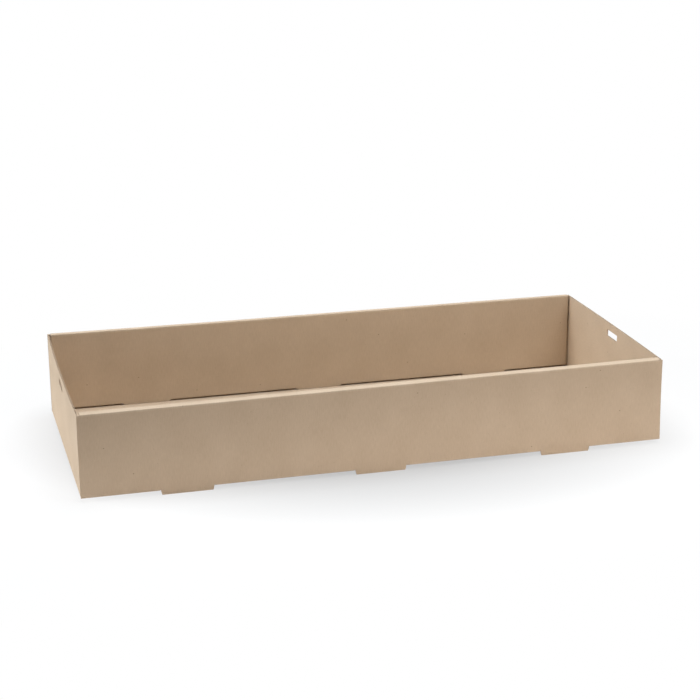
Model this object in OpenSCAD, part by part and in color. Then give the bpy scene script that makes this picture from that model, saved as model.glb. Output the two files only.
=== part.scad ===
// Tray box folded from one die-cut sheet of fine corrugated kraft board.
//
// The long walls are rolled: up, over a flat rim and down again, and each inner panel is locked
// by tabs in slots of the base. The cuts that open those slots also leave the feet, which stand
// below the base in line with the outer walls. The end walls are one layer with a slot for a lid,
// and their corner flaps are tucked inside the rolled walls.
//
// Frame: X along the tray, Y across it, Z up, with the origin on the ground in the middle.

/* [Tray] */
// Length over the end walls
tray_l = 558; // [420:1:700]
// Width over the long walls
tray_w = 252; // [160:1:400]
// Height of the walls, from the underside of the base to the top of the rim
wall_h = 80; // [50:1:140]

/* [Board] */
// Thickness of the board
board_t = 1.5; // [1:0.1:1.9]
// Inside radius of a crease
crease_r = 0.3; // [0.2:0.1:1]
// Room between layers of board that lie beside each other
layer_gap = 0.4; // [0.3:0.1:1.1]
// Width of a cut between two parts of the sheet
cut_w = 0.4; // [0.2:0.1:0.7]

/* [Rolled long walls] */
// Width of the flat rim on top of a rolled wall
rim_w = 7; // [6:0.5:20]
// Room between the ends of the rolled part and the end walls
roll_end_gap = 1.5; // [0.8:0.1:4]
// How far each end of the inner panel slopes in towards the floor
roll_taper = 1; // [0:0.5:4]
// Room under the lower edge of the inner panel
floor_gap = 1.8; // [0.5:0.1:3]

/* [Feet and lock tabs] */
// Number of feet along each long wall
foot_count = 3; // [2:1:4]
// Width of a foot where it leaves the wall
foot_w = 50; // [30:1:70]
// How far each side of a foot slopes in towards its tip
foot_taper = 1.5; // [0:0.5:4]
// Distance from an end of the tray to the nearest foot
foot_inset = 72; // [40:1:110]
// Room between a lock tab and the edges of its slot
tab_gap = 0.3; // [0.2:0.1:1]
// Bevel on the corners of a lock tab
tab_bevel = 2; // [0.5:0.5:4]
// How far the tip of a lock tab stays above the tips of the feet
tab_lift = 0.6; // [0.2:0.1:1.5]

/* [End walls] */
// How far the top of an end wall lies below the top of the rim
end_drop = 0.6; // [0.2:0.1:4]
// Length of the lid slot
lid_slot_l = 27; // [12:1:60]
// Height of the lid slot
lid_slot_h = 6.8; // [4:0.1:12]
// Corner radius of the lid slot
lid_slot_r = 1.2; // [0.4:0.1:1.8]
// Board left between the lid slot and the top of the end wall
lid_slot_drop = 7.5; // [4:0.5:20]

/* [Corner flaps] */
// Distance from the end of a corner flap to the nearest foot
flap_end_gap = 12; // [4:1:25]
// Room above and below a corner flap inside the rolled wall
flap_gap = 1.5; // [0.9:0.1:4]
// Bevel on the corners of a corner flap
flap_bevel = 6; // [1:1:12]

/* [Hidden] */

$fn = 48;
kraft = [0.72, 0.60, 0.47];

// Outside radius of a crease, and the length of board that goes round a square one
bend_r = board_t + crease_r;
bend_arc = (crease_r + board_t / 2) * PI / 2;

// Width of a rolled wall at the floor: the outer wall's crease, a corner flap and the inner panel
lock_w = bend_r + 2 * layer_gap + 2 * board_t;

// Depth of a lock slot from the outer face, and the foot that its cut frees from the base
slot_edge = lock_w + tab_gap;
foot_l = slot_edge - bend_r + bend_arc;
foot_drop = foot_l - bend_r;

// Middles of the feet along a long wall
foot_span = tray_l - 2 * foot_inset - foot_w;
foot_pitch = foot_span / (foot_count - 1);
foot_xs = [for (i = [0 : foot_count - 1]) i * foot_pitch - foot_span / 2];

// Lengths of crease left between the feet, from one end of the tray to the other
cut_half = foot_w / 2 + cut_w;
span_starts = [-tray_l / 2, for (x = foot_xs) x + cut_half];
span_ends = [for (x = foot_xs) x - cut_half, tray_l / 2];
wall_spans = [for (i = [0 : foot_count]) [span_starts[i], span_ends[i]]];

// Half the length of the rim and of the inner panel's upper edge
roll_half = tray_l / 2 - board_t - roll_end_gap;
roll_spans = [[-roll_half, roll_half]];

// Slope of the inner panel, from the rim's inner edge to its lock at the floor
roll_lean = (rim_w - lock_w) / (wall_h - bend_r - board_t);

// Height of the inner panel down to its lower edge, and of a lock tab below that
panel_l = wall_h - bend_r - board_t - floor_gap;
tab_l = board_t + floor_gap + foot_drop - tab_lift;
tab_w = foot_w - 2 * foot_taper - 2 * tab_gap;

// Flare at the root of a lock tab, which ends just above the floor
tab_flare = floor_gap - tab_gap;

// Half the width of an end wall, which stands between the creases of the long walls
end_half = tray_w / 2 - bend_r - layer_gap;
end_top = wall_h - end_drop;

// Corner flaps: their lower and upper edges, and their length past the crease
flap_low = bend_r + flap_gap;
flap_top = wall_h - board_t - flap_gap;
flap_l = foot_inset - bend_r - flap_end_gap;

// A flat piece of board: its outline lies in XY and its thickness goes up
module board() {
    linear_extrude(board_t)
        children();
}

// A square crease along X, where the board turns up. The bent board fills the given spans of X, and
// the children carry on along +Y beyond the crease.
module crease(at, spans) {
    translate([0, at, bend_r]) {
        for (span = spans)
            translate([span[0], 0, 0])
                rotate([90, 0, 90])
                    rotate([0, 0, -90])
                        rotate_extrude(angle = 90)
                            translate([crease_r, 0])
                                square([board_t, span[1] - span[0]]);
        rotate([90, 0, 0])
            translate([0, 0, -bend_r])
                children();
    }
}

// Outline of a foot, root at the origin and tip towards +Y. The same cut leaves its lock slot.
module foot_outline() {
    root = foot_w / 2;
    tip = root - foot_taper;
    polygon([[-root, 0], [root, 0], [tip, foot_l], [-tip, foot_l]]);
}

// Outline of a lock tab, root at the origin and tip towards +Y
module tab_outline() {
    half = tab_w / 2;
    root = half + tab_flare;
    tip = half - tab_bevel;
    shoulder = tab_l - tab_bevel;
    polygon([
        [-root, 0], [root, 0], [half, tab_flare], [half, shoulder],
        [tip, tab_l], [-tip, tab_l], [-half, shoulder], [-half, tab_flare],
    ]);
}

// Outline of the lid slot, round its own middle
module lid_slot_outline() {
    corner_x = lid_slot_l / 2 - lid_slot_r;
    corner_y = lid_slot_h / 2 - lid_slot_r;
    square([lid_slot_l, 2 * corner_y], center = true);
    square([2 * corner_x, lid_slot_h], center = true);
    for (x = [-corner_x, corner_x], y = [-corner_y, corner_y])
        translate([x, y])
            circle(lid_slot_r);
}

// The base, with the lock slots open to its long edges
module base() {
    board()
        difference() {
            square([tray_l - 2 * bend_r, tray_w - 2 * bend_r], center = true);
            for (side = [0, 180], x = foot_xs)
                rotate(side)
                    translate([x, tray_w / 2 - bend_r + bend_arc])
                        mirror([0, 1])
                            foot_outline();
        }
}

// Outer layer of a long wall, with its feet below and an ear at each end beside the rim
module outer_wall() {
    rim_start = wall_h - 2 * bend_r;
    ear_in = roll_half + cut_w;
    board() {
        translate([-tray_l / 2, 0])
            square([tray_l, rim_start]);
        for (side = [0, 1])
            mirror([side, 0])
                translate([ear_in, 0])
                    square([tray_l / 2 - ear_in, end_top - bend_r]);
        for (x = foot_xs)
            translate([x, 0])
                mirror([0, 1])
                    foot_outline();
    }
}

// Flat rim on top of a rolled wall
module rim() {
    board()
        translate([-roll_half, 0])
            square([2 * roll_half, rim_w - 2 * bend_r]);
}

// Inner layer of a long wall, from the rim down to the floor, with its lock tabs. It leans back
// from the rim's crease until the tabs meet their slots.
module inner_panel() {
    low_half = roll_half - roll_taper;
    tip = panel_l + tab_l;
    lean_back = roll_lean * tip;
    intersection() {
        rotate([90, 0, 90])
            linear_extrude(tray_l, center = true)
                polygon([[0, 0], [tip, lean_back], [tip, lean_back + board_t], [0, board_t]]);
        linear_extrude(lean_back + board_t) {
            polygon([[-roll_half, 0], [roll_half, 0], [low_half, panel_l], [-low_half, panel_l]]);
            for (x = foot_xs)
                translate([x, panel_l])
                    tab_outline();
        }
    }
}

// A long wall, rolled from the base outwards, up, over and down
module long_wall() {
    crease(tray_w / 2 - bend_r, wall_spans) {
        outer_wall();
        crease(wall_h - 2 * bend_r, roll_spans) {
            rim();
            crease(rim_w - 2 * bend_r, roll_spans)
                inner_panel();
        }
    }
}

// A corner flap, from its crease towards +Y, with its lower edge on the right
module corner_flap() {
    low = bend_r - flap_low;
    top = bend_r - flap_top;
    shoulder = flap_l - flap_bevel;
    board()
        polygon([
            [top, 0], [low, 0], [low, shoulder], [low - flap_bevel, flap_l],
            [top + flap_bevel, flap_l], [top, shoulder],
        ]);
}

// Single layer of an end wall: its sill is as wide as its crease, and above it the flaps turn away
module end_panel() {
    flat_half = end_half - bend_r;
    sill_h = flap_gap - cut_w;
    slot_y = end_top - bend_r - lid_slot_drop - lid_slot_h / 2;
    board()
        difference() {
            union() {
                translate([-end_half, 0])
                    square([2 * end_half, sill_h]);
                translate([-flat_half, 0])
                    square([2 * flat_half, end_top - bend_r]);
            }
            translate([0, slot_y])
                lid_slot_outline();
        }
}

// An end wall with its two corner flaps
module end_wall() {
    flap_spans = [[bend_r - end_top, bend_r - flap_low]];
    crease(tray_l / 2 - bend_r, [[-end_half, end_half]]) {
        end_panel();
        for (side = [0, 1])
            mirror([side, 0, 0])
                rotate([0, 0, -90])
                    crease(end_half - bend_r, flap_spans)
                        corner_flap();
    }
}

// The folded tray, standing on the tips of its feet
module tray() {
    color(kraft)
        translate([0, 0, foot_drop]) {
            base();
            for (side = [0, 180])
                rotate([0, 0, side])
                    long_wall();
            for (end = [-90, 90])
                rotate([0, 0, end])
                    end_wall();
        }
}

tray();
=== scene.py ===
"""Kraft tray box, folded from one die-cut sheet of fine corrugated board.

The sheet is laid out flat, cut into small cells, folded along its creases and closed into one skin.
Where a cut crosses the flutes, its edge stays open between the liners and shows the wavy layer.
"""

import math

import bpy
import numpy as np
from mathutils import Matrix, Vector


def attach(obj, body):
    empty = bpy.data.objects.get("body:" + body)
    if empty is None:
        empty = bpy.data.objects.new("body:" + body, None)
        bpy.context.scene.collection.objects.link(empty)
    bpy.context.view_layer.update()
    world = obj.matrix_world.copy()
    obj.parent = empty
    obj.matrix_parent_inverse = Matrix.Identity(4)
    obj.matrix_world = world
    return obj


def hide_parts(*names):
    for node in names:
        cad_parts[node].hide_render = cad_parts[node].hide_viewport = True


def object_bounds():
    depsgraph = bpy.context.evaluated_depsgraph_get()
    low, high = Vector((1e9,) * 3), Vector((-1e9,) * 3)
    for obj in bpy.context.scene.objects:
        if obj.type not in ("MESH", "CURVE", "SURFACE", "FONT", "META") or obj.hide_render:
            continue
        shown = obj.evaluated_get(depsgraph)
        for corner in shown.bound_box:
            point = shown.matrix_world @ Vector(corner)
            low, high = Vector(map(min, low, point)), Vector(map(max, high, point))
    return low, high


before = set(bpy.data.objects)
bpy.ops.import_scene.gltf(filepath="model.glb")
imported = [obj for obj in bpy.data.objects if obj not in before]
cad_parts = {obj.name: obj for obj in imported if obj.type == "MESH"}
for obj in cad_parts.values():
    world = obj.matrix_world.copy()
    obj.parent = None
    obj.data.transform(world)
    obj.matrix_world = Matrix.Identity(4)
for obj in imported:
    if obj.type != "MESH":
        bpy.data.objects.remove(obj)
CAD_LOW, CAD_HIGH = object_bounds()

# The sheet in millimetres, as the solid has it
MM = 0.001
TRAY_L, TRAY_W, STAND_H = (round((high - low) / MM, 4) for low, high in zip(CAD_LOW, CAD_HIGH))
BOARD_T = 1.5
CREASE_R = 0.3
LAYER_GAP = 0.4
CUT_W = 0.4
RIM_W = 7
ROLL_END_GAP = 1.5
ROLL_TAPER = 1
FLOOR_GAP = 1.8
FOOT_COUNT = 3
FOOT_W = 50
FOOT_TAPER = 1.5
FOOT_INSET = 72
TAB_GAP = 0.3
TAB_BEVEL = 2
TAB_LIFT = 0.6
END_DROP = 0.6
LID_SLOT_L = 27
LID_SLOT_H = 6.8
LID_SLOT_R = 1.2
LID_SLOT_DROP = 7.5
FLAP_END_GAP = 12
FLAP_GAP = 1.5
FLAP_BEVEL = 6

BEND_R = BOARD_T + CREASE_R
BEND_ARC = (CREASE_R + BOARD_T / 2) * math.pi / 2
LOCK_W = BEND_R + 2 * LAYER_GAP + 2 * BOARD_T
SLOT_EDGE = LOCK_W + TAB_GAP
FOOT_L = SLOT_EDGE - BEND_R + BEND_ARC
FOOT_DROP = FOOT_L - BEND_R
WALL_H = round(STAND_H - FOOT_DROP, 3)
FOOT_SPAN = TRAY_L - 2 * FOOT_INSET - FOOT_W
FOOT_XS = [i * FOOT_SPAN / (FOOT_COUNT - 1) - FOOT_SPAN / 2 for i in range(FOOT_COUNT)]
FOOT_TIP = FOOT_W / 2 - FOOT_TAPER
CUT_HALF = FOOT_W / 2 + CUT_W
BASE_X = TRAY_L / 2 - BEND_R
BASE_Y = TRAY_W / 2 - BEND_R
SLOT_Y = TRAY_W / 2 - SLOT_EDGE
SLOT_MOUTH = FOOT_W / 2 - FOOT_TAPER * BEND_ARC / FOOT_L
RIM_START = WALL_H - 2 * BEND_R
RIM_FLAT = RIM_W - 2 * BEND_R
ROLL_HALF = TRAY_L / 2 - BOARD_T - ROLL_END_GAP
ROLL_LEAN = (RIM_W - LOCK_W) / (WALL_H - BEND_R - BOARD_T)
EAR_IN = ROLL_HALF + CUT_W
PANEL_L = WALL_H - BEND_R - BOARD_T - FLOOR_GAP
TAB_L = BOARD_T + FLOOR_GAP + FOOT_DROP - TAB_LIFT
TAB_HALF = FOOT_W / 2 - FOOT_TAPER - TAB_GAP
TAB_FLARE = FLOOR_GAP - TAB_GAP
END_HALF = TRAY_W / 2 - BEND_R - LAYER_GAP
END_TOP = WALL_H - END_DROP - BEND_R
END_FLAT = END_HALF - BEND_R
SILL_H = FLAP_GAP - CUT_W
LID_SLOT_Y = END_TOP - LID_SLOT_DROP - LID_SLOT_H / 2
LID_SLOT_LOW = LID_SLOT_Y - LID_SLOT_H / 2
LID_SLOT_HIGH = LID_SLOT_Y + LID_SLOT_H / 2
FLAP_LOW = FLAP_GAP
FLAP_TOP = WALL_H - BOARD_T - FLAP_GAP - BEND_R
FLAP_L = FOOT_INSET - BEND_R - FLAP_END_GAP

# Mesh: size of a cell and room between its lines, row beside a crease, how round the crease is (1 is a
# true arc), steps round a crease and a slot's corner, and the angle from which an edge is sharp
CELL = 10
LINE_ROOM = CELL / 4
CREASE_ROW = 0.8
CREASE_POWER = 0.45
CREASE_STEPS = 5
CORNER_STEPS = 4
SHARP_ANGLE = math.radians(40)

# Corners closer than this are one, and the shift keeps round numbers off the borders between two
WELD = 0.01
WELD_SHIFT = 0.37

# Corrugation: liners, wavy layer and how far its crests sink into them, flute pitch and steps, how deep
# the open flutes are cut, and the closed end of a row of flutes with the room beside it
LINER_T = 0.22
WAVY_T = 0.2
CREST_SINK = 0.05
WAVE = (BOARD_T - 2 * LINER_T - WAVY_T) / 2 + CREST_SINK
FLUTE_PITCH = 3.2
FLUTE_STEPS = 12
FLUTE_DEPTH = 0.9
FLUTE_END = 0.15
FLUTE_END_ROOM = 1.5

# Slope on the blank from which a cut crosses the flutes, and how alike in direction two cuts are when
# one carries on the other
CROSS_SLOPE = 2
RUN_ON = 0.7

# How far the real board has twisted, sunk, settled, lifted, bowed, sagged and rippled, how much higher
# the rim's inner edge is, and how far from a wall or the rim that reaches
TWIST = 1.2
SINK = 0.4
BASE_SETTLE = 2.4
CROWN = 0.45
CORNER_LIFTS = {(-1, 1): 1.8, (-1, -1): 0.8}
RIM_TILT = 0.8
RIM_REACH = 30
RIM_FADE = 8
END_BOW = 1.2
SIDE_BOW = 0.4
FRONT_SAG = 1.3
SAG_SLOPE = 0.4
BOW_REACH = 45
RIPPLE = 0.12
RIPPLE_START = 1
RIPPLE_LENGTHS = (31, 17, 23)

# Camera: its place in millimetres, its aim in degrees, and its focal length in the photo's pixels
CAMERA_AT = (-431.5, -1715.9, 630.0)
CAMERA_YAW = 14.226
CAMERA_PITCH = 17.22
CAMERA_ROLL = 0.745
FOCAL_PX = 1888.2
PHOTO_PX = 700
SENSOR = 36


class Panel:
    """A flat or bent stretch of the sheet. Its u runs along a crease, v away from it and w inwards
    through the board. `axes` holds u, v, w and the origin in the tray, and `flat` u, v and the
    origin on the blank."""

    def __init__(self, axes, flat, bent=False, flute_depth=FLUTE_DEPTH):
        self.axes = axes
        self.flat = flat
        self.bent = bent
        self.flute_depth = flute_depth

    def point(self, u, v, w):
        """Where a point of the sheet lies in the folded tray."""
        if self.bent:
            angle = v / BEND_ARC * math.pi / 2
            reach = BEND_R - w
            v = reach * max(math.sin(angle), 0) ** CREASE_POWER
            w = BEND_R - reach * max(math.cos(angle), 0) ** CREASE_POWER
        return np.array([u, v, w, 1]) @ self.axes

    def on_blank(self, u, v):
        """Where a point lies on the flat blank, whose flutes run along its X."""
        return np.array([u, v, 1]) @ self.flat

    def turned(self, quarters):
        """The same panel, seen after quarter turns in its own plane."""
        step = np.linalg.matrix_power(np.array([[0, 1], [-1, 0]]), quarters % 4)
        axes = np.eye(4)
        axes[:2, :2] = step
        flat = np.eye(3)
        flat[:2, :2] = step
        return Panel(axes @ self.axes, flat @ self.flat)

    def fold(self, at):
        """A square crease at v = at, and the panel beyond it."""
        start = np.eye(4)
        start[3, 1] = at
        start_flat = np.eye(3)
        start_flat[2, 1] = at
        beyond = np.array([[1, 0, 0, 0], [0, 0, 1, 0], [0, -1, 0, 0], [0, at + BEND_R, BEND_R, 1]])
        beyond_flat = np.eye(3)
        beyond_flat[2, 1] = at + BEND_ARC
        crease = Panel(start @ self.axes, start_flat @ self.flat, bent=True)
        return crease, Panel(beyond @ self.axes, beyond_flat @ self.flat)

    def leaning(self, slope):
        """The same panel, leaning inwards along v."""
        lean = np.eye(4)
        lean[1, 2] = slope
        return Panel(lean @ self.axes, self.flat)

    def plain(self):
        """The same panel, whose cut edges stay plain."""
        return Panel(self.axes, self.flat, self.bent, 0)


def halves(outline, axis, line):
    """A convex outline cut in two along a line of u or of v, or whole where the line misses it."""
    places = [corner[axis] - line for corner in outline]
    if min(places) > -WELD or max(places) < WELD:
        return [outline]
    below, above = [], []
    for i, (corner, place) in enumerate(zip(outline, places)):
        last, last_place = outline[i - 1], places[i - 1]
        if min(place, last_place) < 0 < max(place, last_place):
            share = last_place / (last_place - place)
            cross = [a + (b - a) * share for a, b in zip(last, corner)]
            cross[axis] = line
            below.append(tuple(cross))
            above.append(tuple(cross))
        if place <= 0:
            below.append(corner)
        if place >= 0:
            above.append(corner)
    return [below, above]


def cells(outline, us, vs):
    """The pieces of a convex outline between lines of u and lines of v, all anticlockwise."""
    turn = sum(a[0] * b[1] - b[0] * a[1] for a, b in zip(outline, outline[1:] + outline[:1]))
    pieces = [outline if turn > 0 else outline[::-1]]
    for axis, lines in ((0, us), (1, vs)):
        for line in lines:
            pieces = [half for piece in pieces for half in halves(piece, axis, line)]
    return pieces


class Board:
    """The folded sheet's skin: welded corners on both faces, cells, and closed or fluted edges."""

    def __init__(self):
        self.points, self.blank, self.side, self.fold = [], [], [], []
        self.faces, self.cut = [], []
        self.corners, self.cells = {}, []

    def vertex(self, panel, u, v, w):
        """A new vertex of the mesh."""
        self.points.append(panel.point(u, v, w))
        self.blank.append(panel.on_blank(u, v))
        self.side.append(w / BOARD_T)
        self.fold.append(float(panel.bent))
        return len(self.points) - 1

    def corner(self, panel, u, v):
        """The welded pair of vertices on the outer and the inner face: the first one's number."""
        outer, inner = panel.point(u, v, 0), panel.point(u, v, BOARD_T)
        key = tuple(np.floor(np.concatenate((outer, inner)) / WELD + WELD_SHIFT).astype(int))
        if key not in self.corners:
            self.corners[key] = self.vertex(panel, u, v, 0)
            self.vertex(panel, u, v, BOARD_T)
        first = self.corners[key]
        if panel.bent:
            self.fold[first] = self.fold[first + 1] = 1.0
        return first

    def face(self, corners, cut=1.0):
        """A face without repeated corners, if any area is left."""
        kept = [c for i, c in enumerate(corners) if c != corners[i - 1]]
        if len(kept) > 2:
            self.faces.append(kept)
            self.cut.append(cut)

    def add(self, panel, outline, us, vs):
        """Fills a convex outline of a panel with cells on both faces of the board."""
        for piece in cells(outline, us, vs):
            outer = [self.corner(panel, u, v) for u, v in piece]
            self.face(outer[::-1], 0.0)
            self.face([c + 1 for c in outer], 0.0)
            self.cells.append((panel, piece, outer))

    def close(self):
        """Closes the sheet's edges, with open flutes where a cut runs across them."""
        edges = {}
        for panel, piece, outer in self.cells:
            for i, corner in enumerate(outer):
                edges[outer[i - 1], corner] = Edge(panel, piece[i - 1], piece[i])
        rim = {pair: edge for pair, edge in edges.items() if pair[::-1] not in edges}
        before = {b: edge for (a, b), edge in rim.items()}
        after = {a: edge for (a, b), edge in rim.items()}
        shared = {}
        for (a, b), edge in rim.items():
            if edge.crosses:
                solid = (not edge.runs_on(before[a]), not edge.runs_on(after[b]))
                self.open_edge(edge, a, b, solid, shared)
        for (a, b), edge in rim.items():
            if not edge.crosses:
                up, down = (liner_corners(c, shared) for c in (b, a))
                self.face([a, b, *up, b + 1, a + 1, *down[::-1]])

    def open_edge(self, edge, a, b, solid, shared):
        """One stretch of cut edge from corner a to b: two liners with the wavy layer between."""
        columns = []
        for share in edge.shares(solid):
            at_end = {0: (a, solid[0]), 1: (b, solid[1])}.get(share)
            known = shared.setdefault(at_end[0], {}) if at_end else {}
            levels = wavy_layer(edge.flute_at(share), at_end and at_end[1])
            columns.append([self.flute_vertex(edge, share, w, known) for w in levels])
        for left, right in zip(columns, columns[1:]):
            (l_low, l_under, l_over, l_high), (r_low, r_under, r_over, r_high) = left, right
            self.face([l_under[0], r_under[0], r_over[0], l_over[0]])
            self.flute(l_low, r_low, l_under, r_under)
            self.flute(l_over, r_over, l_high, r_high)
        self.face([a, b] + [column[0][0] for column in columns[::-1]])
        self.face([column[3][0] for column in columns] + [b + 1, a + 1])

    def flute_vertex(self, edge, share, w, known):
        """A vertex at the mouth of a flute and the one behind it, made once for each level."""
        if w not in known:
            known[w] = tuple(self.vertex(edge.panel, *edge.place(share, depth), w)
                             for depth in (0, edge.panel.flute_depth))
        return known[w]

    def drop_unused(self):
        """Takes out the vertices that no face needs, such as those behind a flute's closed end."""
        used = sorted({corner for face in self.faces for corner in face})
        number = {old: new for new, old in enumerate(used)}
        self.faces = [[number[corner] for corner in face] for face in self.faces]
        kept = (self.points, self.blank, self.side, self.fold)
        self.points, self.blank, self.side, self.fold = (
            [values[old] for old in used] for values in kept)

    def flute(self, l_floor, r_floor, l_roof, r_roof):
        """Floor, roof and back of the hollow between two columns, where there is one."""
        if l_floor == l_roof and r_floor == r_roof:
            return
        self.face([l_floor[0], r_floor[0], r_floor[1], l_floor[1]])
        self.face([r_roof[0], l_roof[0], l_roof[1], r_roof[1]])
        self.face([l_floor[1], r_floor[1], r_roof[1], l_roof[1]])


class Edge:
    """A stretch of the sheet's edge, with the board on its left."""

    def __init__(self, panel, start, end):
        self.panel = panel
        self.start, self.end = np.array(start), np.array(end)
        self.blank_start, self.blank_end = panel.on_blank(*start), panel.on_blank(*end)
        along, across = np.abs(self.blank_end - self.blank_start)
        self.crosses = panel.flute_depth > 0 and across > CROSS_SLOPE * along

    def runs_on(self, other):
        """True if the other edge carries on this one's open flutes."""
        mine, theirs = self.blank_end - self.blank_start, other.blank_end - other.blank_start
        lengths = np.linalg.norm(mine) * np.linalg.norm(theirs)
        return other.crosses and mine @ theirs > RUN_ON * lengths

    def place(self, share, depth):
        """The point (u, v) at a share of the edge and a depth into the board."""
        run = self.end - self.start
        inwards = np.array([-run[1], run[0]]) / np.linalg.norm(run)
        return self.start + run * share + inwards * depth

    def flute_at(self, share):
        """How far across the blank's flutes a share of the edge lies."""
        return self.blank_start[1] + (self.blank_end[1] - self.blank_start[1]) * share

    def shares(self, solid):
        """Shares of the edge at which the wavy layer is drawn, from 0 to 1."""
        low, high = sorted((self.blank_start[1], self.blank_end[1]))
        step = FLUTE_PITCH / FLUTE_STEPS
        places = [k * step for k in range(math.ceil(low / step), math.floor(high / step) + 1)]
        start, span = self.blank_start[1], self.blank_end[1] - self.blank_start[1]
        places = [(p - start) / span for p in places]
        margin = FLUTE_END / (high - low)
        room = FLUTE_END_ROOM * margin
        ends = [margin] * solid[0] + [1 - margin] * solid[1]
        inside = [p for p in places if room < p < 1 - room]
        return sorted({0, 1, *(e for e in ends if 0 < e < 1), *inside})


def liner_corners(corner, shared):
    """Vertices that a neighbouring open edge has at the insides of the liners above a corner."""
    known = shared.get(corner, {})
    return [known[w][0] for w in (LINER_T, BOARD_T - LINER_T) if w in known]


def wavy_layer(place, closed):
    """Heights through the board at one place across the flutes: inside of the outer liner, both
    faces of the wavy layer, and inside of the inner liner."""
    low, high = LINER_T, BOARD_T - LINER_T
    if closed:
        return low, low, high, high
    middle = BOARD_T / 2 + WAVE * math.sin(2 * math.pi * place / FLUTE_PITCH)
    under, over = middle - WAVY_T / 2, middle + WAVY_T / 2
    if under < low + 2 * WELD:
        under = low
    if over > high - 2 * WELD:
        over = high
    return low, under, over, high


def lines(low, high, keys):
    """Cutting lines: the key ones and, where there is room, even ones between them."""
    keys = {round(k, 4) for k in keys}
    even = [k * CELL for k in range(math.ceil(low / CELL), math.floor(high / CELL) + 1)]
    return sorted(keys | {e for e in even if min(abs(e - k) for k in keys) > LINE_ROOM})


def both(*values):
    """Each value with both signs."""
    return [sign * value for value in values for sign in (-1, 1)]


def box(u0, u1, v0, v1):
    """A rectangle's outline."""
    return [(u0, v0), (u1, v0), (u1, v1), (u0, v1)]


FOOT_LINES = both(FOOT_TIP, TAB_HALF + TAB_FLARE, FOOT_W / 2, CUT_HALF)
LENGTH_LINES = lines(-TRAY_L / 2, TRAY_L / 2, both(ROLL_HALF, EAR_IN, BASE_X - CREASE_ROW)
                     + [x + line for x in FOOT_XS for line in FOOT_LINES])
LID_SLOT_CORNER = (LID_SLOT_L / 2 - LID_SLOT_R, LID_SLOT_H / 2 - LID_SLOT_R)
WIDTH_LINES = lines(-TRAY_W / 2, TRAY_W / 2, both(
    END_HALF, END_FLAT, END_FLAT - CREASE_ROW, SLOT_Y, LID_SLOT_CORNER[0], LID_SLOT_L / 2))
END_LINES = lines(0, END_TOP, [
    CREASE_ROW, SILL_H, FLAP_LOW, FLAP_TOP, LID_SLOT_LOW, LID_SLOT_HIGH,
    LID_SLOT_Y - LID_SLOT_CORNER[1], LID_SLOT_Y + LID_SLOT_CORNER[1]])
CREASE_LINES = [BEND_ARC * k / CREASE_STEPS for k in range(1, CREASE_STEPS)]


def wall_lines(length):
    """Cutting lines up a wall between two creases."""
    return lines(0, length, [CREASE_ROW, length - CREASE_ROW])


def add_base(board, base):
    """The base, whose lock slots open to its long edges."""
    board.add(base, box(-BASE_X, BASE_X, -SLOT_Y, SLOT_Y), LENGTH_LINES, WIDTH_LINES)
    starts = [(-BASE_X, -BASE_X)] + [(x + FOOT_TIP, x + SLOT_MOUTH) for x in FOOT_XS]
    ends = [(x - FOOT_TIP, x - SLOT_MOUTH) for x in FOOT_XS] + [(BASE_X, BASE_X)]
    for quarters in (0, 2):
        side = base.turned(quarters)
        for (start_in, start_out), (end_in, end_out) in zip(starts, ends):
            strip = [(start_in, SLOT_Y), (end_in, SLOT_Y), (end_out, BASE_Y), (start_out, BASE_Y)]
            board.add(side, strip, LENGTH_LINES, WIDTH_LINES)


def add_outer_wall(board, crease, outer):
    """Outer layer of a long wall with its crease, and with its ears and feet."""
    starts = [-TRAY_L / 2] + [x + CUT_HALF for x in FOOT_XS]
    ends = [x - CUT_HALF for x in FOOT_XS] + [TRAY_L / 2]
    for start, end in zip(starts, ends):
        board.add(crease, box(start, end, 0, BEND_ARC), LENGTH_LINES, CREASE_LINES)
    wall = box(-TRAY_L / 2, TRAY_L / 2, 0, RIM_START)
    board.add(outer, wall, LENGTH_LINES, wall_lines(RIM_START))
    for low, high in ((-TRAY_L / 2, -EAR_IN), (EAR_IN, TRAY_L / 2)):
        board.add(outer, box(low, high, RIM_START, END_TOP), LENGTH_LINES, [])
    for x in FOOT_XS:
        foot = [(x - FOOT_TIP, -FOOT_L), (x + FOOT_TIP, -FOOT_L),
                (x + FOOT_W / 2, 0), (x - FOOT_W / 2, 0)]
        board.add(outer, foot, LENGTH_LINES, [])


def add_inner_panel(board, inner):
    """Leaning inner layer of a long wall, with its lock tabs."""
    low_half = ROLL_HALF - ROLL_TAPER
    panel = [(-low_half, PANEL_L), (low_half, PANEL_L), (ROLL_HALF, 0), (-ROLL_HALF, 0)]
    board.add(inner, panel, LENGTH_LINES, lines(0, PANEL_L, [CREASE_ROW]))
    tab_side = [(TAB_HALF + TAB_FLARE, 0), (TAB_HALF, TAB_FLARE),
                (TAB_HALF, TAB_L - TAB_BEVEL), (TAB_HALF - TAB_BEVEL, TAB_L)]
    for x in FOOT_XS:
        for (wide, top), (narrow, low) in zip(tab_side, tab_side[1:]):
            tab = [(x - wide, PANEL_L + top), (x + wide, PANEL_L + top),
                   (x + narrow, PANEL_L + low), (x - narrow, PANEL_L + low)]
            board.add(inner, tab, LENGTH_LINES, [])


def add_long_wall(board, side):
    """A rolled wall: up from the base, over the flat rim and down again."""
    crease, outer = side.fold(BASE_Y)
    rim_crease, rim = outer.fold(RIM_START)
    roll_crease, hanging = rim.fold(RIM_FLAT)
    add_outer_wall(board, crease, outer)
    for bend in (rim_crease, roll_crease):
        board.add(bend, box(-ROLL_HALF, ROLL_HALF, 0, BEND_ARC), LENGTH_LINES, CREASE_LINES)
    board.add(rim, box(-ROLL_HALF, ROLL_HALF, 0, RIM_FLAT), LENGTH_LINES, wall_lines(RIM_FLAT))
    add_inner_panel(board, hanging.leaning(ROLL_LEAN))


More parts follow.
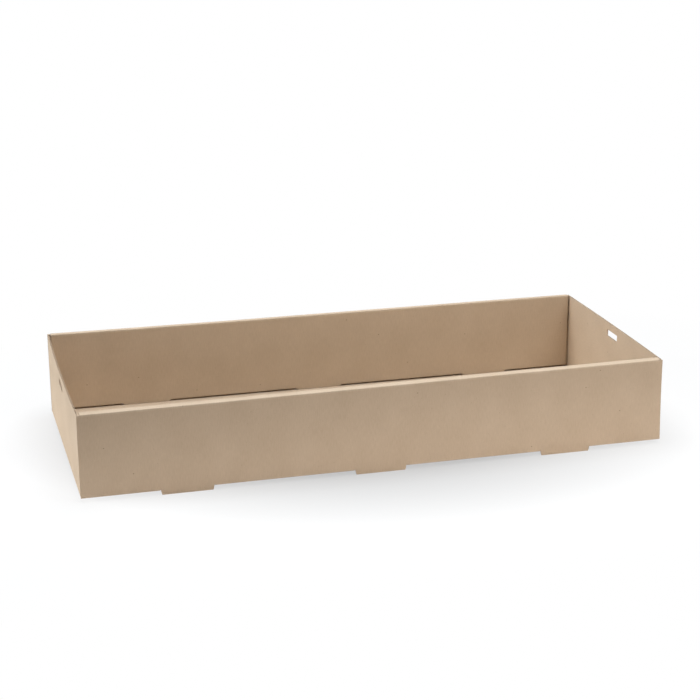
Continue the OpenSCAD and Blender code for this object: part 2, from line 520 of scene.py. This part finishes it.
def around_lid_slot():
    """Outlines that fill an end wall around its lid slot and the slot's round corners."""
    slot_u = LID_SLOT_L / 2
    outlines = [
        box(-END_HALF, END_HALF, 0, SILL_H),
        box(-END_FLAT, -slot_u, SILL_H, END_TOP), box(slot_u, END_FLAT, SILL_H, END_TOP),
        box(-slot_u, slot_u, SILL_H, LID_SLOT_LOW), box(-slot_u, slot_u, LID_SLOT_HIGH, END_TOP)]
    for sign_u in (-1, 1):
        for sign_v in (-1, 1):
            arc = [(sign_u * (LID_SLOT_CORNER[0] + LID_SLOT_R * math.cos(angle)),
                    LID_SLOT_Y + sign_v * (LID_SLOT_CORNER[1] + LID_SLOT_R * math.sin(angle)))
                   for angle in np.linspace(0, math.pi / 2, CORNER_STEPS + 1)]
            square_corner = (sign_u * slot_u, LID_SLOT_Y + sign_v * LID_SLOT_H / 2)
            outlines += [[square_corner, start, end] for start, end in zip(arc, arc[1:])]
    return outlines


def add_end_wall(board, side):
    """A single end wall with its lid slot, and the corner flaps tucked into the long walls."""
    crease, wall = side.fold(BASE_X)
    board.add(crease, box(-END_HALF, END_HALF, 0, BEND_ARC), WIDTH_LINES, CREASE_LINES)
    for outline in around_lid_slot():
        board.add(wall, outline, WIDTH_LINES, END_LINES)
    for quarters, down in ((-1, -1), (1, 1)):
        flap_lines = [down * line for line in END_LINES]
        bend, flap = wall.turned(quarters).fold(END_FLAT)
        board.add(bend, box(down * FLAP_LOW, down * END_TOP, 0, BEND_ARC), flap_lines, CREASE_LINES)
        outline = [(FLAP_LOW, 0), (FLAP_TOP, 0), (FLAP_TOP, FLAP_L - FLAP_BEVEL),
                   (FLAP_TOP - FLAP_BEVEL, FLAP_L), (FLAP_LOW + FLAP_BEVEL, FLAP_L),
                   (FLAP_LOW, FLAP_L - FLAP_BEVEL)]
        board.add(flap.plain(), [(down * h, v) for h, v in outline], flap_lines,
                  lines(0, FLAP_L, [CREASE_ROW]))


def folded_board():
    """The whole sheet, folded into the tray that stands on the tips of its feet."""
    board = Board()
    base = Panel(np.vstack((np.eye(3), [0, 0, FOOT_DROP])), np.eye(3)[:, :2])
    add_base(board, base)
    for quarters in (0, 2):
        add_long_wall(board, base.turned(quarters))
    for quarters in (1, 3):
        add_end_wall(board, base.turned(quarters))
    board.close()
    board.drop_unused()
    return board


def near(distance, reach):
    """1 at a wall, falling smoothly to 0 at a reach from it."""
    share = np.clip(1 - distance / reach, 0, 1)
    return share * share * (3 - 2 * share)


def warped(points):
    """The tray's points after its walls have bowed, its rim has twisted and its base has settled."""
    x, y, z = points.T
    along, across, up = x / (TRAY_L / 2), y / (TRAY_W / 2), z / STAND_H
    at_end = near(TRAY_L / 2 - np.abs(x), BOW_REACH)
    at_side = near(TRAY_W / 2 - np.abs(y), BOW_REACH)
    end_bow = END_BOW * at_end * (1 - across ** 2) * up ** 2
    side_bow = SIDE_BOW * at_side * (1 - along ** 2) * up ** 2
    sag = FRONT_SAG * (1 - SAG_SLOPE * along) * at_side * (y < 0) * 4 * up * (1 - up)
    slow, quick, rise = RIPPLE_LENGTHS
    ripple = RIPPLE * at_side * up * (np.sin(x / slow + RIPPLE_START) + np.sin(x / quick + z / rise))
    rim_share = np.interp(TRAY_W / 2 - np.abs(y), (0, RIM_W, RIM_W + RIM_FADE), (0, 1, 0))
    rolled = np.abs(x) < ROLL_HALF + WELD
    tilt = RIM_TILT * rim_share * rolled * near(STAND_H - z, RIM_REACH)
    lift = CROWN * at_side * (1 - along ** 2)
    for (end, side), height in CORNER_LIFTS.items():
        lift = lift + height * (np.maximum(end * along, 0) * np.maximum(side * across, 0)) ** 2
    above_feet = np.clip(z / FOOT_DROP, 0, 1)
    settle = BASE_SETTLE * (1 + along) / 2 * np.maximum(across, 0) * (1 - up) * above_feet
    return np.column_stack((
        x + np.sign(x) * end_bow,
        y + np.sign(y) * (side_bow - sag + ripple),
        z + up * (lift - SINK - TWIST * along * across) + tilt - settle))


def make_tray(material):
    """The folded board as one mesh object."""
    board = folded_board()
    mesh = bpy.data.meshes.new("folded_board")
    mesh.from_pydata((warped(np.array(board.points)) * MM).tolist(), [], board.faces)
    corner_of_loop = np.zeros(len(mesh.loops), dtype=np.int32)
    mesh.loops.foreach_get("vertex_index", corner_of_loop)
    blank = np.array(board.blank)[corner_of_loop] * MM
    mesh.uv_layers.new(name="blank").data.foreach_set("uv", blank.astype(np.float32).ravel())
    for name, domain, values in (("side", "POINT", board.side), ("fold", "POINT", board.fold),
                                 ("cut", "FACE", board.cut)):
        mesh.attributes.new(name, "FLOAT", domain).data.foreach_set("value", values)
    mesh.shade_smooth()
    mesh.set_sharp_from_angle(angle=SHARP_ANGLE)
    mesh.materials.append(material)
    tray = bpy.data.objects.new("folded_board", mesh)
    bpy.context.scene.collection.objects.link(tray)
    return tray


class Nodes:
    """Short calls that build a node tree."""

    def __init__(self, owner):
        owner.use_nodes = True
        self.tree = owner.node_tree
        self.tree.nodes.clear()

    def add(self, kind, inputs, **settings):
        """A node with its settings, and its inputs set to values or linked to sockets."""
        made = self.tree.nodes.new(kind)
        for name, value in settings.items():
            setattr(made, name, value)
        for socket, value in inputs.items():
            if isinstance(value, bpy.types.NodeSocket):
                self.tree.links.new(value, made.inputs[socket])
            else:
                made.inputs[socket].default_value = value
        return made

    def math(self, operation, a, b=0.0):
        """A sum, product or other operation on two numbers."""
        return self.add("ShaderNodeMath", {0: a, 1: b}, operation=operation).outputs[0]

    def vector(self, operation, a, b=(0, 0, 0)):
        """An operation on two vectors."""
        return self.add("ShaderNodeVectorMath", {0: a, 1: b}, operation=operation).outputs[0]

    def length(self, a):
        """A vector's length."""
        return self.add("ShaderNodeVectorMath", {0: a}, operation="LENGTH").outputs["Value"]

    def scaled(self, value, factor):
        """A value times a factor."""
        return self.math("MULTIPLY", value, factor)

    def noise(self, place, stretch, detail):
        """Noise on the board, with its grain in cycles per millimetre along X, Y and the side."""
        grain = self.vector("MULTIPLY", place, stretch)
        noise = self.add("ShaderNodeTexNoise", {"Vector": grain, "Scale": 1.0, "Detail": detail})
        return noise.outputs["Fac"]

    def voronoi(self, place, stretch):
        """Distance to the nearest of some scattered points, in cells of the stretched board."""
        grain = self.vector("MULTIPLY", place, stretch)
        points = self.add("ShaderNodeTexVoronoi", {"Vector": grain, "Scale": 1.0},
                          voronoi_dimensions="2D")
        return points.outputs["Distance"]

    def ramp(self, value, low, high, to_low=0.0, to_high=1.0):
        """A value brought from one range to another and clamped."""
        return self.add("ShaderNodeMapRange", {
            "Value": value, "From Min": low, "From Max": high, "To Min": to_low, "To Max": to_high,
        }).outputs[0]

    def blend(self, share, below, above):
        """One colour laid over another by a share."""
        mixed = self.add("ShaderNodeMix", {"Factor": share, 6: below, 7: above}, data_type="RGBA")
        return mixed.outputs[2]

    def attribute(self, name):
        """A number stored on the mesh."""
        return self.add("ShaderNodeAttribute", {}, attribute_name=name).outputs["Fac"]


# Colours of the paper, its flecks and specks, its worn folds and the pulp of a cut edge
KRAFT_DARK = (0.55, 0.428, 0.307, 1)
KRAFT_LIGHT = (0.632, 0.503, 0.373, 1)
FLECK_DARK = (0.30, 0.21, 0.13, 1)
FLECK_LIGHT = (0.78, 0.67, 0.53, 1)
SPECK = (0.20, 0.13, 0.08, 1)
FOLD_WORN = (0.68, 0.55, 0.42, 1)
CUT_PULP = (0.60, 0.475, 0.355, 1)

# Patterns: grain in cycles per millimetre and detail of the noise, and how far apart the board's two
# sides lie in them
FIBRES = ((1.1, 0.16, 1), 4.0)
CLOUDS = ((0.035, 0.022, 1), 3.0)
TOOTH = ((3.2, 2.4, 1), 2.0)
FLECKS = ((0.9, 0.55, 3), 2.0)
LIGHT_FLECKS = ((1.5, 0.5, 7), 2.0)
SPECK_GRAIN = (0.014, 0.018, 1)
SIDES_APART = 47.0

# Where each pattern starts and ends, and the share that it has in the colour
FLECK_RANGE = (0.69, 0.75)
LIGHT_FLECK_RANGE = (0.67, 0.75)
SPECK_RANGE = (0.006, 0.011)
TONE_RANGE = (0.3, 0.7)
WORN_RANGE = (0.35, 0.65)
FIBRE_SHARE = 0.55
CLOUD_SHARE = 0.45
FLECK_SHARE = 0.4
LIGHT_FLECK_SHARE = 0.35
SPECK_SHARE = 0.6
WORN_SHARES = (0.1, 0.4)
CUT_SHARE = 0.7

# Relief in millimetres, and the paper's sheen
FLUTE_RELIEF = 0.012
FIBRE_RELIEF = 0.024
TOOTH_RELIEF = 0.02
ROUGHNESS = (0.72, 0.9)
SPECULAR = 0.12


def place_on_blank(nodes):
    """The place on the blank in millimetres, with the side of the board as Z, and its Y alone."""
    uv = nodes.add("ShaderNodeUVMap", {}, uv_map="blank").outputs[0]
    split = nodes.add("ShaderNodeSeparateXYZ", {0: uv})
    side = nodes.scaled(nodes.attribute("side"), SIDES_APART)
    x = nodes.scaled(split.outputs[0], 1 / MM)
    y = nodes.scaled(split.outputs[1], 1 / MM)
    return nodes.add("ShaderNodeCombineXYZ", {0: x, 1: y, 2: side}).outputs[0], y


def kraft_colour(nodes, place, fibre, cloud):
    """Fibres and clouds of tone, then flecks, specks, worn folds and the pulp of cut edges."""
    fleck = nodes.ramp(nodes.noise(place, *FLECKS), *FLECK_RANGE)
    light_fleck = nodes.ramp(nodes.noise(place, *LIGHT_FLECKS), *LIGHT_FLECK_RANGE)
    speck = nodes.ramp(nodes.voronoi(place, SPECK_GRAIN), *SPECK_RANGE, 1.0, 0.0)
    tone = nodes.math("ADD", nodes.scaled(fibre, FIBRE_SHARE), nodes.scaled(cloud, CLOUD_SHARE))
    colour = nodes.blend(nodes.ramp(tone, *TONE_RANGE), KRAFT_DARK, KRAFT_LIGHT)
    colour = nodes.blend(nodes.scaled(fleck, FLECK_SHARE), colour, FLECK_DARK)
    colour = nodes.blend(nodes.scaled(light_fleck, LIGHT_FLECK_SHARE), colour, FLECK_LIGHT)
    colour = nodes.blend(nodes.scaled(speck, SPECK_SHARE), colour, SPECK)
    wear = nodes.ramp(cloud, *WORN_RANGE, *WORN_SHARES)
    colour = nodes.blend(nodes.math("MULTIPLY", nodes.attribute("fold"), wear), colour, FOLD_WORN)
    return nodes.blend(nodes.scaled(nodes.attribute("cut"), CUT_SHARE), colour, CUT_PULP)


def kraft_relief(nodes, place, y, fibre):
    """Flutes that print through the liner, fibres, and the tooth of the paper."""
    flute = nodes.math("SINE", nodes.scaled(y, 2 * math.pi / FLUTE_PITCH))
    tooth = nodes.noise(place, *TOOTH)
    relief = nodes.math("ADD", nodes.scaled(flute, FLUTE_RELIEF), nodes.scaled(fibre, FIBRE_RELIEF))
    return nodes.math("ADD", relief, nodes.scaled(tooth, TOOTH_RELIEF))


def kraft_material():
    """Matt kraft liner."""
    material = bpy.data.materials.new("kraft_board")
    nodes = Nodes(material)
    place, y = place_on_blank(nodes)
    fibre = nodes.noise(place, *FIBRES)
    cloud = nodes.noise(place, *CLOUDS)
    bump = nodes.add("ShaderNodeBump", {
        "Height": kraft_relief(nodes, place, y, fibre), "Distance": MM, "Strength": 1.0})
    shader = nodes.add("ShaderNodeBsdfPrincipled", {
        "Base Color": kraft_colour(nodes, place, fibre, cloud),
        "Roughness": nodes.ramp(fibre, *TONE_RANGE, *ROUGHNESS),
        "Specular IOR Level": SPECULAR,
        "Normal": bump.outputs[0],
    })
    nodes.add("ShaderNodeOutputMaterial", {"Surface": shader.outputs[0]})
    return material


# Floor: half its size, its tone and the tones of its bounced light, the distances from the tray over
# which it turns to plain white for the camera and its bounced light fades, and how white it is beside
# the tray
FLOOR_HALF = 9.0
FLOOR_TONE = (0.85, 0.85, 0.85, 1)
BOUNCE_TONE = (0.88, 0.82, 0.765, 1)
BOUNCE_DIM = (0.1, 0.1, 0.1, 1)
FLOOR_FADE = (0.12, 0.25)
BOUNCE_FADE = (0.1, 0.25)
FLOOR_LIFT = 0.85

# Painted soft round shadow on the floor: turn, half sizes, where it fades, and tone; and the light of
# the sky
PAINTED_SHADOW_TURN = math.radians(14)
PAINTED_SHADOW_HALF = (0.345, 0.25, 1)
PAINTED_SHADOW_FADE = (0.5, 1.0)
PAINTED_SHADOW_TONE = 0.63
WHITE = (1, 1, 1, 1)
SKY_STRENGTH = 0.05

# Soft lamps: place and aim in metres, width and height, power in watts, and colour
NEUTRAL = (1, 1, 1)
COOL = (0.92, 0.96, 1.0)
WARM = (1.0, 0.89, 0.8)
LAMPS = {
    "overhead": ((0, 0.02, 1.6), (0, 0, 0), (1.0, 1.0), 27, COOL),
    "left": ((-1.7, 0.19, 0.4), (0, 0, 0.04), (0.28, 0.6), 17.4, COOL),
    "near_right": ((0.6, -0.7, 0.9), (0.1, -0.1, 0.04), (0.6, 0.6), 3.9, NEUTRAL),
    "low_right": ((0.5, -0.95, 0.14), (0.05, -0.13, 0.04), (0.5, 0.2), 1.9, WARM),
}


def camera_ray(nodes):
    """1 for what the camera sees, also in a reflection or through glass."""
    path = nodes.add("ShaderNodeLightPath", {})
    seen = nodes.math("MAXIMUM", path.outputs["Is Camera Ray"], path.outputs["Is Glossy Ray"])
    return nodes.math("MAXIMUM", seen, path.outputs["Is Transmission Ray"])


def floor_material():
    """Pale paint that turns to plain white away from the tray, with a painted soft shadow around the
    tray.
    """
    material = bpy.data.materials.new("pale_floor")
    nodes = Nodes(material)
    place = nodes.add("ShaderNodeTexCoord", {}).outputs["Object"]
    half = (TRAY_L / 2 * MM, TRAY_W / 2 * MM, 0)
    past_wall = nodes.vector("SUBTRACT", nodes.vector("ABSOLUTE", place), half)
    distance = nodes.length(nodes.vector("MAXIMUM", past_wall, (0, 0, 0)))
    seen = camera_ray(nodes)
    away = nodes.math("MULTIPLY", nodes.ramp(distance, *FLOOR_FADE, FLOOR_LIFT, 1.0), seen)
    bounce = nodes.blend(nodes.ramp(distance, *BOUNCE_FADE), BOUNCE_TONE, BOUNCE_DIM)
    paint = nodes.add("ShaderNodeBsdfDiffuse", {"Color": nodes.blend(seen, bounce, FLOOR_TONE)})
    # Painted shadow: the white that the camera sees dims in a soft ellipse around the tray's middle
    turned = nodes.add("ShaderNodeVectorRotate", {"Vector": place, "Angle": PAINTED_SHADOW_TURN},
                       rotation_type="Z_AXIS").outputs[0]
    from_middle = nodes.length(nodes.vector("DIVIDE", turned, PAINTED_SHADOW_HALF))
    strength = nodes.ramp(from_middle, *PAINTED_SHADOW_FADE, PAINTED_SHADOW_TONE, 1.0)
    white = nodes.add("ShaderNodeEmission", {"Color": WHITE, "Strength": strength})
    mixed = nodes.add("ShaderNodeMixShader", {0: away, 1: paint.outputs[0], 2: white.outputs[0]})
    nodes.add("ShaderNodeOutputMaterial", {"Surface": mixed.outputs[0]})
    return material


def make_floor():
    """A plain floor under the tray."""
    mesh = bpy.data.meshes.new("floor")
    corners = [(x, y, 0) for x, y in box(-FLOOR_HALF, FLOOR_HALF, -FLOOR_HALF, FLOOR_HALF)]
    mesh.from_pydata(corners, [], [(0, 1, 2, 3)])
    mesh.materials.append(floor_material())
    floor = bpy.data.objects.new("floor", mesh)
    bpy.context.scene.collection.objects.link(floor)


def make_light():
    """Soft lamps, and a sky that is white to the camera and dimmer as light."""
    for name, (place, aim, size, watts, colour) in LAMPS.items():
        lamp = bpy.data.lights.new(name, "AREA")
        lamp.shape = "RECTANGLE"
        lamp.size, lamp.size_y = size
        lamp.energy = watts
        lamp.color = colour
        lamp_object = bpy.data.objects.new(name, lamp)
        back = np.array(place) - np.array(aim)
        back = back / np.linalg.norm(back)
        lamp_object.matrix_world = aimed(place, back, np.cross((0, 0, 1), back))
        bpy.context.scene.collection.objects.link(lamp_object)
    world = bpy.data.worlds.new("studio")
    nodes = Nodes(world)
    strength = nodes.ramp(camera_ray(nodes), 0.0, 1.0, SKY_STRENGTH, 1.0)
    sky = nodes.add("ShaderNodeBackground", {"Color": WHITE, "Strength": strength})
    nodes.add("ShaderNodeOutputWorld", {"Surface": sky.outputs[0]})
    bpy.context.scene.world = world


def aimed(place, back, right):
    """A placement whose -Z looks away from `back` and whose X is near `right`."""
    right = np.array(right) / np.linalg.norm(right)
    up = np.cross(back, right)
    turn = Matrix([[right[i], up[i], back[i]] for i in range(3)]).to_4x4()
    return Matrix.Translation(place) @ turn


def make_camera():
    """The photograph's camera."""
    yaw, pitch, roll = (math.radians(a) for a in (CAMERA_YAW, CAMERA_PITCH, CAMERA_ROLL))
    ahead = np.array((
        math.sin(yaw) * math.cos(pitch), math.cos(yaw) * math.cos(pitch), -math.sin(pitch)))
    level = np.array((math.cos(yaw), -math.sin(yaw), 0))
    down = np.cross(ahead, level)
    camera = bpy.data.cameras.new("camera")
    camera.sensor_width = SENSOR
    camera.lens = FOCAL_PX / PHOTO_PX * SENSOR
    camera_object = bpy.data.objects.new("camera", camera)
    place = [c * MM for c in CAMERA_AT]
    right = math.cos(roll) * level + math.sin(roll) * down
    camera_object.matrix_world = aimed(place, -ahead, right)
    bpy.context.scene.collection.objects.link(camera_object)
    bpy.context.scene.camera = camera_object


tray = make_tray(kraft_material())
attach(tray, "root")
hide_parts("tray")
make_floor()
make_light()
make_camera()
bpy.context.scene.view_settings.view_transform = "Standard"
